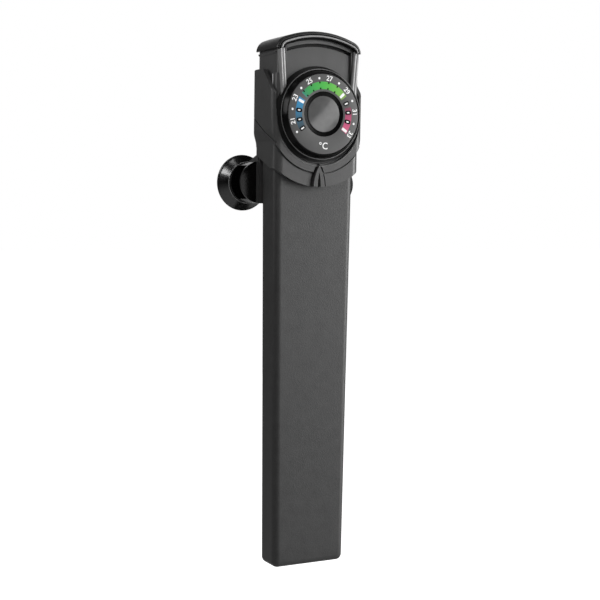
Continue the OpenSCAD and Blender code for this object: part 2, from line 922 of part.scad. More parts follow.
module scale_disc() {
    color(grey_plastic) in_place() difference() {
        rod(scale_r, dial_front - disc_t + 0.02, dial_front);
        rod(button_r + ring_w + 0.1, 0, dial_front + past);
    }
}

module dial_screw() {
    low = spindle_end + 0.42;
    color(metal) in_place() difference() {
        union() {
            rod(screw_head_r, low, low + screw_head_h);
            rod(screw_r, spindle_end - 5, low + slip);
        }
        for (a = [0, 90]) rotate([0, a, 0]) translate([-1.6, -far, -0.3]) cube([3.2, far - low - 0.8, 0.6]);
    }
}

module dial_button() {
    low = dial_front - disc_t - 0.38;
    crown = 0.35;
    ball = (button_r * button_r + crown * crown) / (2 * crown);
    sweep = asin(button_r / ball);
    color(bright_grey) in_place() turned()
        polygon(concat([[0, low]], arc(0, dial_front + crown - ball, ball, 90 - sweep, 90, 10)));
}

// ---------- Holder ----------

// Plan of the holder at a half width, with its front drawn in by a step
module holder_plan(half, step) {
    block_plan(2 * half, holder_front - step, holder_back, holder_r, holder_back_r);
}

// Side view of the wings: a sloping front edge up to a round tip, and a straight back
module wing_profile() {
    polygon(concat([[-holder_front - past, -far], [holder_back + past, -far]],
        arc(holder_back - wing_tip_r, wing_top - wing_tip_r, wing_tip_r, 0, 90),
        arc(wing_slope_back + wing_tip_r, wing_top - wing_tip_r, wing_tip_r, 90, wing_slope_turn),
        [[-holder_front, wing_slope_low], [-holder_front - past, wing_slope_low]]));
}

// Front view of the holder's sides, which draw in smoothly from the wings to the sleeve
module waist(inset = 0) {
    wave = (wing_half - sleeve_half + 0.2) / 2;
    curve = [for (i = [0 : 12]) let (t = i / 12)
        [wing_half - inset - wave * (1 - cos(180 * t)), waist_high + (waist_low - waist_high) * t]];
    both_sides() polygon(concat([[0, far], [wing_half - inset, far]], curve,
        [[sleeve_half - inset - 0.2, -far], [0, -far]]));
}

// Fine groove that runs up each side of the holder, from the end of the band's groove to the back
module side_crease() {
    difference() {
        side_view(-far, far) polygon([[-holder_front - past, crease_front],
            [-holder_front, crease_front], [holder_back + past, crease_back],
            [holder_back + past, crease_back + crease_w], [-holder_front, crease_front + crease_w],
            [-holder_front - past, crease_front + crease_w]]);
        front_view(-far, far) waist(crease_deep);
    }
}

// Front view of the flare where the holder's lip opens out towards the tip of one wing
module lip_flare() {
    difference() {
        square([wing_half + past, wing_top + past]);
        translate([pocket_r + flare_r, 0]) circle(flare_r, $fn = 120);
    }
}

// Upper band of the holder, which runs round under the dial and up into the two wings
module upper_band() {
    intersection() {
        front_view(-holder_front, holder_back) {
            translate([0, band_z]) circle(band_r);
            translate([-wing_half, band_z]) square([2 * wing_half, wing_top - band_z]);
        }
        front_view(-far, far) waist();
        plan(-far, far) holder_plan(wing_half, 0);
        side_view(-far, far) wing_profile();
    }
}

// Lower sleeve of the holder, rising at its sides towards the back
module lower_sleeve() {
    intersection() {
        front_view(-holder_front, holder_back) intersection() {
            translate([0, edge_r - sleeve_drop]) circle(edge_r);
            translate([-sleeve_half, -far]) square([2 * sleeve_half, far - 8]);
        }
        plan(-far, far) holder_plan(sleeve_half, band_step);
        side_view(-far, far) polygon([[-holder_front, -far], [-holder_front, 0], [holder_back, 0],
            [holder_back, hem_back], [-holder_front + holder_r, hem_front],
            [-holder_front + holder_r, -far]]);
    }
}

// Arched outline of the index tongue or of the notch round it, above the lower edge
module tongue_outline(half, tip) {
    low = sleeve_drop + past;
    rise = low - tip;
    r = (rise * rise + half * half) / (2 * half);
    intersection() {
        translate([half - r, -low]) circle(r, $fn = 120);
        translate([r - half, -low]) circle(r, $fn = 120);
        above(-low);
    }
}

// Arm that stands back from the holder to the round pad of one suction cup
module cup_arm() {
    x = cup_pitch / 2;
    inside = pad_r - arm_wall;
    front = holder_back - past;
    difference() {
        union() {
            front_view(front, pad_back) translate([0, -cup_drop]) {
                translate([x, 0]) circle(pad_r);
                translate([x - arm_in, -pad_r]) square([arm_in, 2 * pad_r]);
            }
            side_view(x - arm_in, x + 1) polygon([[front, -cup_drop + inside], [front, -18.5],
                [pad_back - pad_t, -cup_drop + pad_r], [pad_back - pad_t, -cup_drop + inside]]);
        }
        front_view(holder_back, pad_back - pad_t) translate([0, -cup_drop]) {
            translate([x, 0]) circle(inside);
            translate([x - arm_in + arm_wall, -inside]) square([far, 2 * inside]);
        }
        translate([x, 0, -cup_drop]) rod(neck_r + running, -glass_gap, -holder_back);
    }
}

module holder() {
    plate_half = shaft_half;
    color(grey_plastic) in_place() difference() {
        union() {
            upper_band();
            lower_sleeve();
            front_view(shaft_depth, holder_back) translate([-plate_half, plate_low])
                square([2 * plate_half, plate_high - plate_low]);
            both_sides() cup_arm();
        }
        plan(-far, far) rounded(2 * shaft_half, 2 * shaft_depth, casing_r);
        front_view(-far, 0) {
            head_outline(holder_gap);
            translate([-pocket_r, apron_z]) square([2 * pocket_r, far]);
        }
        front_view(-far, -head_front) {
            translate([0, apron_z]) circle(pocket_r);
            both_sides() lip_flare();
        }
        side_crease();
        front_view(-slip, far) translate([-pocket_r, plate_high]) square([2 * pocket_r, far]);
        front_view(-far, -holder_front + groove_deep) translate([0, band_z]) difference() {
            circle(band_r + band_groove / 2);
            circle(band_r - band_groove / 2);
        }
        front_view(-far, -holder_front + notch_deep) difference() {
            tongue_outline(notch_half, tongue_tip - 2);
            tongue_outline(tongue_half, tongue_tip);
        }
        front_view(-far, -holder_front + notch_deep) tongue_outline(slot_half, slot_top);
    }
    color(grey_plastic) in_place() difference() {
        intersection() {
            front_view(-holder_front - tongue_proud, -holder_front + notch_deep + slip)
                tongue_outline(tongue_half, tongue_tip);
            front_view(-far, 0) translate([0, edge_r - sleeve_drop]) circle(edge_r);
        }
        front_view(-far, -holder_front + notch_deep) tongue_outline(slot_half, slot_top);
    }
}

// ---------- Suction cups ----------

// Cup with a flexible dished rim, a neck through the pad and a button that holds it there
module suction_cup() {
    rim_r = cup_dia / 2;
    glass = -glass_gap;
    seat = -pad_back - cup_gap;
    button = -pad_back + pad_t + cup_gap;
    turned() polygon([[0, glass + 3.2], [3, glass + 3.2], [8.5, glass + 2.1], [rim_r - contact_w, glass],
        [rim_r, glass], [rim_r, glass + rim_t], [10.4, glass + 2.4], [hub_cup_r + 0.6, seat - 1.2],
        [hub_cup_r, seat - 0.6], [hub_cup_r, seat], [neck_r, seat], [neck_r, button],
        [button_cup_r, button], [button_cup_r, button + 1.4],
        [button_cup_r - 1.2, button + button_cup_t - 0.5],
        [1.6, button + button_cup_t], [0, button + button_cup_t]]);
}

module suction_cup_left() {
    color(gloss_black) in_place() translate([-cup_pitch / 2, 0, -cup_drop]) suction_cup();
}

module suction_cup_right() {
    color(gloss_black) in_place() translate([cup_pitch / 2, 0, -cup_drop]) suction_cup();
}

casing();
casing_gasket();
foot_cushion();
heating_stones();
electrode_front();
electrode_back();
insulating_sleeve();
element_tube();
tube_plugs();
spreader_front();
spreader_back();
bulkhead();
thermal_fuse();
temperature_sensor();
lead_wires();
head_housing();
front_panel();
corner_trim_left();
corner_trim_right();
cap_gasket();
top_cap();
control_board();
board_screws();
potentiometer();
relay();
capacitor();
board_components();
status_led();
light_guide();
gland_body();
gland_bush();
gland_nut();
spindle_seal();
spindle();
dial_knob();
scale_disc();
dial_screw();
dial_button();
holder();
suction_cup_left();
suction_cup_right();
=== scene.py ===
import json
import math

import bmesh
import bpy
import numpy as np
from mathutils import Matrix, Quaternion, Vector

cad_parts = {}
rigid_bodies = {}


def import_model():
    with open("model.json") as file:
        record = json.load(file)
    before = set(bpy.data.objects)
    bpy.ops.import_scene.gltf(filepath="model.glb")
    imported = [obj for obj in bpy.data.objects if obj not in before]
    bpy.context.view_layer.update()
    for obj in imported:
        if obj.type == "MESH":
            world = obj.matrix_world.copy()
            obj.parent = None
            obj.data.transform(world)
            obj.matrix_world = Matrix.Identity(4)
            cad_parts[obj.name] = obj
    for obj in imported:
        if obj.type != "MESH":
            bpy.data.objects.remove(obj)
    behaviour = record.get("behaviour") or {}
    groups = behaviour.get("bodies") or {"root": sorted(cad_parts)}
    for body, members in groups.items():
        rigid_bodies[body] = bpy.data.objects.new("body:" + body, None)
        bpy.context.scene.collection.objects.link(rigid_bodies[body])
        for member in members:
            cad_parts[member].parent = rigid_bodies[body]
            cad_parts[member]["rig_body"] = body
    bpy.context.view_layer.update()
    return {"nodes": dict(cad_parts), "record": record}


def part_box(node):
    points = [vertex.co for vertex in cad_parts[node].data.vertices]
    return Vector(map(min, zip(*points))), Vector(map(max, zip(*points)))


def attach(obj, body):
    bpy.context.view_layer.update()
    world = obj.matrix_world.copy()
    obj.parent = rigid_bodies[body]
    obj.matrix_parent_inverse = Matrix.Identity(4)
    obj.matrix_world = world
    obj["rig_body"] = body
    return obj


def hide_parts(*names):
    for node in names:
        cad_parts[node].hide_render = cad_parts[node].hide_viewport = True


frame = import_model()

MM = 0.001

# ---------- Places taken from the frame ----------

disc_low, disc_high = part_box("scale_disc")
knob_low, knob_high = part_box("dial_knob")
button_low, button_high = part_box("dial_button")
casing_low, casing_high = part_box("casing")
cap_low, cap_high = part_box("top_cap")
cup_low, cup_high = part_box("suction_cup_left")
head_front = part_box("head_housing")[0].y

dial_x = (disc_low.x + disc_high.x) / 2
dial_z = (disc_low.z + disc_high.z) / 2
dial_face = disc_low.y
dial_centre = (dial_x, dial_face, dial_z)
scale_radius = (disc_high.x - disc_low.x) / 2
grip_radius = (knob_high.x - knob_low.x) / 2
button_radius = (button_high.x - button_low.x) / 2

PANEL_HALF = 17.3 * MM   # half width of the sunk panel
TRIM_FOOT = 17.94 * MM   # a corner trim's distance from the middle, at the dial's height
TRIM_SLOPE = 0.07        # how far it leans outwards for each unit of height
CUP_OUT = 21 * MM        # a suction cup's distance from the middle


def add_object(name, data):
    """Object of some data, put into the scene."""
    made = bpy.data.objects.new(name, data)
    bpy.context.scene.collection.objects.link(made)
    return made


# ---------- Camera ----------

def make_camera():
    """Camera at the left of the front, a little above the middle, with a slight roll."""
    place = Vector((-0.29423, -0.57014, -0.01336))
    turn, pitch, roll = (math.radians(a) for a in (28.27, -3.99, 0.84))
    ahead = Vector((
        math.sin(turn) * math.cos(pitch), math.cos(turn) * math.cos(pitch), math.sin(pitch)))
    level = Vector((math.cos(turn), -math.sin(turn), 0))
    above = level.cross(ahead)
    right = math.cos(roll) * level + math.sin(roll) * above
    up = -math.sin(roll) * level + math.cos(roll) * above
    data = bpy.data.cameras.new("camera")
    data.lens = 76.68
    data.sensor_width = 36
    data.clip_start = 0.02
    camera = add_object("camera", data)
    facing = Matrix((right, up, -ahead)).transposed().to_4x4()
    camera.matrix_world = Matrix.Translation(place) @ facing
    bpy.context.scene.camera = camera


# ---------- Shader maths ----------

EDGE_WIDTH = 0.12 * MM            # of the soft edge of a painted mask
NOISE_LOW, NOISE_HIGH = 0.3, 0.7  # between which nearly all of a noise lies


class Field:
    """A value that changes over a surface: a socket whose arithmetic adds Math nodes."""

    def __init__(self, paint, socket):
        self.paint = paint
        self.socket = socket

    def maths(self, operation, *values, clamp=False):
        settings = {"operation": operation, "use_clamp": clamp}
        return self.paint.node("ShaderNodeMath", settings, dict(enumerate(values)))

    def __add__(self, other):
        return self.maths("ADD", self, other)

    def __sub__(self, other):
        return self.maths("SUBTRACT", self, other)

    def __rsub__(self, other):
        return self.maths("SUBTRACT", other, self)

    def __mul__(self, other):
        return self.maths("MULTIPLY", self, other)

    def clamped(self):
        return self.maths("ADD", self, 0.0, clamp=True)

    def size(self):
        return self.maths("ABSOLUTE", self)

    def root(self):
        return self.maths("SQRT", self)

    def past(self, edge):
        """0 below an edge and 1 above it, with an even step of a width between."""
        return ((self - edge) * (1 / EDGE_WIDTH) + 0.5).clamped()


def off_axis(x, z, centre_x, centre_z):
    """Distance from an axis along Y: the root of the sum of the two squares."""
    across, up = x - centre_x, z - centre_z
    return (across * across + up * up).root()


class Paint:
    """One procedural material on a Principled shader."""

    def __init__(self, name, **fixed):
        self.material = bpy.data.materials.new(name)
        self.material.use_nodes = True
        self.tree = self.material.node_tree
        self.shader = self.tree.nodes["Principled BSDF"]
        for socket, value in fixed.items():
            self.shader.inputs[socket.replace("_", " ")].default_value = value

    def node(self, kind, settings=None, inputs=None, output=0):
        """Adds a node, sets its settings, then the values or links of its sockets."""
        made = self.tree.nodes.new(kind)
        for name, value in (settings or {}).items():
            setattr(made, name, value)
        for name, value in (inputs or {}).items():
            if isinstance(value, Field):
                self.tree.links.new(value.socket, made.inputs[name])
            else:
                made.inputs[name].default_value = value
        return Field(self, made.outputs[output])

    def place(self, scale=(1, 1, 1)):
        """The point on the piece in the object's own coordinates, in metres, scaled."""
        point = self.node("ShaderNodeTexCoord", output="Object")
        if scale == (1, 1, 1):
            return point
        return self.node("ShaderNodeMapping", {}, {"Vector": point, "Scale": scale})

    def axes(self):
        """The X, Y and Z of the point on the piece, in metres."""
        split = self.node("ShaderNodeSeparateXYZ", {}, {0: self.place()}).socket.node
        return [Field(self, split.outputs[axis]) for axis in range(3)]

    def noise(self, size, detail=2.0, rough=0.5, stretch=(1, 1, 1)):
        """Noise whose features are about size metres across."""
        return self.node("ShaderNodeTexNoise", {}, {
            "Vector": self.place(stretch), "Scale": 1 / size, "Detail": detail,
            "Roughness": rough})

    def ramp(self, value, stops):
        """Colour by a value, between stops of (value, colour)."""
        made = self.node("ShaderNodeValToRGB", {}, {0: value})
        elements = made.socket.node.color_ramp.elements
        while len(elements) < len(stops):
            elements.new(1.0)
        for element, (place, colour) in zip(elements, stops):
            element.position = place
            element.color = colour
        return made

    def tint(self, noise, colour, low, high):
        """A colour that a noise takes from a low multiple of it to a high one."""
        return self.ramp(noise, [(NOISE_LOW, lighter(colour, low)),
                                 (NOISE_HIGH, lighter(colour, high))])

    def blend(self, factor, first, second):
        """Colour between two colours by a factor: sockets 0, 6 and 7 of a Mix of colours."""
        settings = {"data_type": "RGBA"}
        return self.node("ShaderNodeMix", settings, {0: factor, 6: first, 7: second}, output=2)

    def feed(self, socket, value):
        self.tree.links.new(value.socket, self.shader.inputs[socket])

    def uneven_gloss(self, noise, reach, rough):
        """Roughness that a noise moves within a reach, about a level."""
        self.feed("Roughness", (noise * reach + (rough - reach / 2)).clamped())

    def bump(self, height, depth):
        """Height from 0 to 1 becomes relief of a depth in metres."""
        self.feed("Normal", self.node("ShaderNodeBump", {}, {"Height": height, "Distance": depth}))


def grey(level):
    """Colour of equal parts, given as the shade a screen shows from 0 to 255."""
    share = level / 255
    linear = share / 12.92 if share <= 0.04045 else ((share + 0.055) / 1.055) ** 2.4
    return (linear, linear, linear, 1)


def shade(red, green, blue):
    """Colour given as the three screen shades from 0 to 255."""
    return (grey(red)[0], grey(green)[0], grey(blue)[0], 1)


def lighter(colour, factor):
    return (*(min(1, c * factor) for c in colour[:3]), 1)


# ---------- Materials ----------

def moulded(name, colour, rough, grain=0.25 * MM, depth=0.012 * MM, mottle=0.12, painted_dark_areas=None,
            **fixed):
    """Moulded plastic with a fine spark-eroded grain, mottling and a slightly uneven gloss. An
    optional function gives how far a place is painted near black, mostly as painted shade in
    recesses and gaps, and how far that black is polished."""
    paint = Paint(name, **fixed)
    fine = paint.noise(grain, 3.0, 0.6)
    broad = paint.noise(6 * MM, 2.0)
    base = paint.tint(fine * 0.6 + broad * 0.4, colour, 1 - mottle, 1 + mottle)
    gloss = fine * 0.10 + broad * 0.08 + (rough - 0.09)
    if painted_dark_areas:
        # Painted shade in recesses and gaps (and the holder's black pads): the colour goes to near
        # black by the mask.
        dark, wet = painted_dark_areas(paint)
        base = paint.blend(dark, base, grey(5))
        gloss = gloss + dark * 0.4 - wet * 0.65
    paint.feed("Base Color", base)
    paint.feed("Roughness", gloss.clamped())
    paint.bump(fine, depth)
    return paint.material


WELL_MARGIN = 1.3 * MM  # between the knob's flange and the wall of the well it turns in; the painted shade of the well reaches this far past the flange


def round_dial(x, z, margin):
    """1 within a margin of the knob's flange, as seen from the front, and 0 beyond."""
    return 1 - off_axis(x, z, dial_x, dial_z).past(grip_radius + margin)


def panel_recesses(paint):
    """Painted shade in the well round the dial."""
    x, _, z = paint.axes()
    return round_dial(x, z, WELL_MARGIN), 0.0


def head_recesses(paint):
    """Painted shade: near black in the well round the dial, the seat of the sunk panel, and the
    two fine grooves beside each corner trim: where the distance from a line is near to half of the
    grooves' spacing."""
    seat_foot = dial_z + 9 * MM
    seat_depth, groove_depth, deepest = 0.45 * MM, 0.1 * MM, 3 * MM
    inwards, half_spacing, groove_half = 2.35 * MM, 0.5 * MM, 0.16 * MM
    x, y, z = paint.axes()
    well = round_dial(x, z, WELL_MARGIN)
    side = (x - dial_x).size()
    seat = (1 - side.past(PANEL_HALF)) * y.past(head_front + seat_depth) * z.past(seat_foot)
    beside = side - (z - dial_z) * TRIM_SLOPE - TRIM_FOOT
    off_groove = ((beside + inwards).size() - half_spacing).size()
    grooves = (1 - off_groove.past(groove_half)) * (1 - y.past(head_front + groove_depth))
    near_front = 1 - y.past(head_front + deepest)
    return (well + seat + grooves).clamped() * near_front, 0.0


def holder_recesses(paint):
    """Painted shade at the wall round the dial, and the polished near-black round pads that carry
    the suction cups.
    """
    pad_front, pad_back, pad_radius, arm_side = -19.8 * MM, -6.5 * MM, 10.1 * MM, 22.75 * MM
    wall_margin = 1.25 * MM
    x, y, z = paint.axes()
    well = round_dial(x, z, wall_margin) * (1 - y.past(head_front))
    side = (x - dial_x).size()
    beyond = y.past(pad_front) * side.past(arm_side) * (1 - y.past(pad_back))
    pad = (1 - off_axis(side, z, CUP_OUT, 0).past(pad_radius)) * beyond
    return (well + pad).clamped(), pad


def polished(name, colour, rough, **fixed):
    """Polished plastic with a very slight waviness and faint handling haze in its gloss."""
    paint = Paint(name, **fixed)
    haze = paint.noise(3 * MM, 4.0, 0.6)
    wave = paint.noise(5 * MM, 1.0)
    paint.feed("Base Color", paint.tint(haze, colour, 0.92, 1.08))
    paint.uneven_gloss(haze, 0.10, rough)
    paint.bump(wave, 0.004 * MM)
    return paint.material


def flexible(name, colour, rough):
    """Soft moulded vinyl: smooth, faintly streaked by its flow in the mould."""
    paint = Paint(name, Specular_IOR_Level=1.0)
    flow = paint.noise(2.5 * MM, 3.0, 0.5, (1, 3, 1))
    paint.feed("Base Color", paint.tint(flow, colour, 0.7, 1.4))
    paint.uneven_gloss(flow, 0.14, rough)
    paint.bump(flow, 0.02 * MM)
    return paint.material


def drawn_metal(name, colour, rough, along=(1, 1, 0.05)):
    """Metal with fine lines along its length."""
    paint = Paint(name, Metallic=1.0)
    lines = paint.noise(0.3 * MM, 2.0, 0.6, along)
    paint.feed("Base Color", paint.tint(lines, colour, 0.85, 1.1))
    paint.uneven_gloss(lines, 0.16, rough)
    paint.bump(lines, 0.01 * MM)
    return paint.material


def clear_moulding(name):
    """Clear moulded rod."""
    paint = Paint(name, Transmission_Weight=0.8, IOR=1.49)
    haze = paint.noise(2 * MM)
    paint.feed("Base Color", paint.ramp(haze, [(0, (0.85, 0.88, 0.88, 1)),
                                               (1, (0.95, 0.97, 0.97, 1))]))
    paint.uneven_gloss(haze, 0.1, 0.07)
    return paint.material


# One finish for each of the record's material slots.
finishes = {
    "casing_plastic": moulded("casing grain", grey(48), 0.5, grain=0.6 * MM, depth=0.07 * MM,
                              mottle=0.3),
    "head_plastic": moulded("head satin", grey(72), 0.42, grain=0.3 * MM,
                            painted_dark_areas=head_recesses),
    "cap_plastic": moulded("cap satin", grey(22), 0.34, grain=0.3 * MM),
    "holder_plastic": moulded("holder satin", grey(64), 0.42, grain=0.3 * MM,
                              painted_dark_areas=holder_recesses),
    "trim_gloss": polished("trim polish", grey(140), 0.4, Metallic=0.2),
    "dial_gloss": polished("dial gloss", grey(8), 0.2, Specular_IOR_Level=0.14),
    "scale_print": moulded("scale face", grey(66), 0.42, depth=0.006 * MM),
    "button_gloss": polished("button gloss", grey(118), 0.12, Metallic=0.5),
    "cup_rubber": flexible("cup vinyl", grey(20), 0.18),
    "seal_rubber": moulded("seal rubber", grey(14), 0.6),
    "silicone": moulded("silicone", shade(34, 34, 36), 0.45),
    "gland_plastic": moulded("gland nylon", grey(36), 0.42),
    "element_aluminium": drawn_metal("mill aluminium", grey(205), 0.35),
    "heating_ceramic": moulded("fired ceramic", shade(96, 92, 86), 0.7),
    "contact_brass": drawn_metal("contact strip", shade(214, 170, 120), 0.3),
    "insulation_film": polished("insulation film", shade(190, 120, 35), 0.25),
    "steel": drawn_metal("turned steel", grey(190), 0.28, (1, 0.1, 1)),
    "board_laminate": moulded("board laminate", shade(24, 92, 48), 0.35),
    "component_plastic": moulded("component cases", shade(52, 56, 66), 0.45),
    "wire_silicone": moulded("silicone lead", shade(150, 34, 28), 0.45),
    "clear_guide": clear_moulding("clear guide"),
    "fuse_ceramic": moulded("ceramic sleeve", shade(222, 214, 198), 0.5),
}
slot_of = {part["node"]: part["material_slot"] for part in frame["record"]["subparts"]}

# Finishes of pieces that differ from the rest of their slot: print inks, a panel with painted
# shade round the dial, light greys that paint highlights on beads, and a near black that paints
# groove shade.
white_ink = moulded("white ink", grey(238), 0.5, depth=0.002 * MM, mottle=0.04)
black_ink = moulded("black ink", grey(4), 0.7, depth=0.002 * MM, Specular_IOR_Level=0.08)
panel_satin = moulded("panel satin", grey(62), 0.42, grain=0.3 * MM, painted_dark_areas=panel_recesses)
# Light greys that paint highlights on beads: the cap bead, pad rims, rail edges, flange edge and
# holder lip.
bead_highlight = polished("painted bead highlight", grey(150), 0.3)
rail_highlight = polished("painted rail highlight", grey(215), 0.35)
edge_highlight = polished("painted edge highlight", grey(104), 0.35)
# Near-black beads laid along the cap's grooves as their painted shade.
groove_shade_black = moulded("painted groove shade", grey(4), 0.8, Specular_IOR_Level=0.1)


# ---------- Meshes ----------

def link(name, mesh, body, slot, material=None, crease=35):
    """Puts a finished mesh into the scene as a piece that rides on a body. Edges sharper than
    the crease, in degrees, stay sharp."""
    mesh.shade_smooth()
    if crease:
        mesh.set_sharp_from_angle(angle=math.radians(crease))
    piece = add_object(name, mesh)
    mesh.materials.clear()
    mesh.materials.append(material or finishes[slot])
    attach(piece, body)
    return piece


def mesh_of(name, points, faces):
    """Mesh of points (n, 3) and quads (m, 4); equal points are merged and normals turned
    outwards."""
    mesh = bpy.data.meshes.new(name)
    mesh.from_pydata(points.tolist(), [], faces.tolist())
    work = bmesh.new()
    work.from_mesh(mesh)
    bmesh.ops.remove_doubles(work, verts=work.verts, dist=1e-7)
    bmesh.ops.dissolve_degenerate(work, edges=work.edges, dist=1e-8)
    bmesh.ops.recalc_face_normals(work, faces=work.faces)
    work.to_mesh(mesh)
    work.free()
    return mesh


def grid(name, points, round_rows=False, round_columns=False):
    """Mesh of a grid of points (rows, columns, 3), joined to its first row or column where it
    goes round."""
    rows, columns = points.shape[:2]
    index = np.arange(rows * columns).reshape(rows, columns)
    if round_rows:
        index = np.vstack([index, index[:1]])
    if round_columns:
        index = np.hstack([index, index[:, :1]])
    faces = np.stack([index[:-1, :-1], index[1:, :-1], index[1:, 1:], index[:-1, 1:]], -1)
    return mesh_of(name, points.reshape(-1, 3), faces.reshape(-1, 4))


def softened(profile, radius, steps=4):
    """Rounds the corners of an open profile: each corner becomes the curve
    (1-t)^2 a + 2t(1-t) c + t^2 b, where c is the corner and a, b lie a radius back along its two
    sides, or a little less than half of a short side."""
    profile = np.array(profile, float)
    before, corner, after = profile[:-2], profile[1:-1], profile[2:]

    def back_along(side):
        length = np.linalg.norm(side, axis=1, keepdims=True)
        return side / length * np.minimum(radius, length * 0.45)

    start = corner + back_along(before - corner)
    end = corner + back_along(after - corner)
    t = np.linspace(0, 1, steps + 1)[None, :, None]
    curve = ((1 - t) ** 2 * start[:, None] + 2 * t * (1 - t) * corner[:, None]
             + t ** 2 * end[:, None])
    return np.vstack([profile[:1], curve.reshape(-1, 2), profile[-1:]])


def turned(name, profile, centre, segments=192, wave=None):
    """Surface of a profile of (radius, distance before the centre) turned about an axis along Y:
    x = r sin a, z = r cos a; wave(r, forward, a) may change the radius."""
    profile = np.array(profile, float)
    angle = np.linspace(0, 2 * np.pi, segments, endpoint=False)[None, :]
    radius = np.repeat(profile[:, :1], segments, 1)
    forward = np.repeat(profile[:, 1:], segments, 1)
    if wave:
        radius = wave(radius, forward, angle)
    x = centre[0] + radius * np.sin(angle)
    z = centre[2] + radius * np.cos(angle)
    return grid(name, np.stack([x, centre[1] - forward, z], -1), round_columns=True)


def dressed(node, name, width, material=None):
    """Merged copy of a CAD node with its edges rounded by a width, which stands for that node."""
    flat, sharp = math.radians(0.4), math.radians(28)
    mesh = bpy.data.meshes.new(name)
    work = bmesh.new()
    work.from_mesh(frame["nodes"][node].data)
    bmesh.ops.remove_doubles(work, verts=work.verts, dist=2e-6)
    bmesh.ops.dissolve_limit(work, angle_limit=flat, verts=work.verts, edges=work.edges)
    work.to_mesh(mesh)
    work.free()
    if "custom_normal" in mesh.attributes:
        mesh.attributes.remove(mesh.attributes["custom_normal"])
    body = frame["nodes"][node]["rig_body"]
    piece = link(name, mesh, body, slot_of[node], material, crease=None)
    edges = piece.modifiers.new("edges", "BEVEL")
    edges.width = width
    edges.segments = 2
    edges.limit_method = "ANGLE"
    edges.angle_limit = sharp
    edges.miter_outer = "MITER_ARC"
    normals = piece.modifiers.new("normals", "WEIGHTED_NORMAL")
    normals.weight = 80
    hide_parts(node)


# ---------- Casing ----------

def round_box(width, depth, radius, steps=8):
    """Ring of points (n, 2) round a rectangle with round corners: each corner's centre plus
    r (cos a, sin a), with a point on each flat close to the corner so that the flats shade
    flat."""
    turn = np.arange(4)[:, None] * np.pi / 2
    angle = turn + np.linspace(0, np.pi / 2, steps + 1)[None, :]
    signs = np.array([[1, 1], [-1, 1], [-1, -1], [1, -1]])[:, None, :]
    half = np.array([width / 2 - radius, depth / 2 - radius])
    arcs = signs * half + radius * np.stack([np.cos(angle), np.sin(angle)], -1)
    lead = min(0.4 * MM, 0.3 * (min(width, depth) - 2 * radius))
    before = arcs[:, :1] + lead * np.stack([np.sin(turn), -np.cos(turn)], -1)
    after = arcs[:, -1:] + lead * np.stack([-np.cos(turn), -np.sin(turn)], -1)
    return np.concatenate([before, arcs, after], 1).reshape(-1, 2)


def casing_shell():
    """Tapered body: round-cornered rings whose width grows evenly with height. Over the foot
    each ring is drawn in by r (1 - sin q) while it rises by r (1 - cos q), which rolls the foot's
    edge through a quarter circle."""
    radius, least_radius = 3 * MM, 0.05 * MM
    depth = 15.4 * MM
    foot_width, top_width = 38.1 * MM, casing_high.x - casing_low.x
    middle = (casing_low.y + casing_high.y) / 2
    top = dial_z - 16 * MM - casing_low.z
    roll = np.linspace(0, np.pi / 2, 9)
    rise = np.linspace(radius, top, 25)[1:]
    inset = np.concatenate([radius * (1 - np.sin(roll)), np.zeros(len(rise))])
    height = np.concatenate([radius * (1 - np.cos(roll)), rise])
    width = foot_width + (top_width - foot_width) * height / top
    rings = np.stack([round_box(w - 2 * i, depth - 2 * i, max(radius - i, least_radius))
                      for w, i in zip(width, inset)])
    rings = np.concatenate([rings[:1] * 0, rings, rings[-1:] * 0])
    height = np.concatenate([height[:1], height, height[-1:]])
    points = np.dstack([rings[:, :, 0] + dial_x, rings[:, :, 1] + middle,
                        np.repeat(height[:, None] + casing_low.z, rings.shape[1], 1)])
    mesh = grid("casing_shell", points, round_columns=True)
    piece = link("casing_shell", mesh, "heater", "casing_plastic")
    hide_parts("casing")


# ---------- Dial ----------

DEGREE = math.radians(18.8)  # the scale's turn for each degree of temperature
TOP_READING = 26.5           # the reading at the top of the dial
PRINT = 0.02 * MM            # thickness of the ink


def on_dial(mesh, reading, radius, lift):
    """Moves flat artwork, drawn in XY about its own middle, to a reading on the dial's face."""
    stand = Matrix.Rotation(math.pi / 2, 4, "X")
    out = Matrix.Translation((0, 0, radius))
    turn = Matrix.Rotation((reading - TOP_READING) * DEGREE, 4, "Y")
    place = Matrix.Translation((dial_x, dial_face - lift, dial_z))
    mesh.transform(place @ turn @ out @ stand)
    return mesh


def numeral(text, size, reading, radius):
    """Printed number as a thin mesh, with its top outwards."""
    curve = bpy.data.curves.new(text, "FONT")
    curve.body = text
    curve.size = size
    curve.align_x = "CENTER"
    curve.align_y = "CENTER"
    curve.offset = 0.05 * MM
    curve.extrude = PRINT / 2
    curve.resolution_u = 4
    shape = add_object(text, curve)
    bpy.context.view_layer.update()
    evaluated = shape.evaluated_get(bpy.context.evaluated_depsgraph_get())
    mesh = bpy.data.meshes.new_from_object(evaluated)
    bpy.data.objects.remove(shape)
    return on_dial(mesh, reading, radius, PRINT)


def plate(width, height, radius):
    """Thin flat plate with round corners, drawn in XY about its middle."""
    ring = round_box(width, height, radius, 6)
    front = np.column_stack([ring, np.full(len(ring), PRINT / 2)])
    back = np.column_stack([ring, np.full(len(ring), -PRINT / 2)])
    centre = np.zeros_like(front)
    rows = np.stack([centre - [0, 0, PRINT / 2], back, front, centre + [0, 0, PRINT / 2]])
    return grid("plate", rows, round_columns=True)


def plates(width, height, corner, readings, radii, lift):
    """Plates of one size at each of some readings and radii."""
    return [on_dial(plate(width * MM, height * MM, corner * MM), reading, radius, lift)
            for reading in readings for radius in radii]


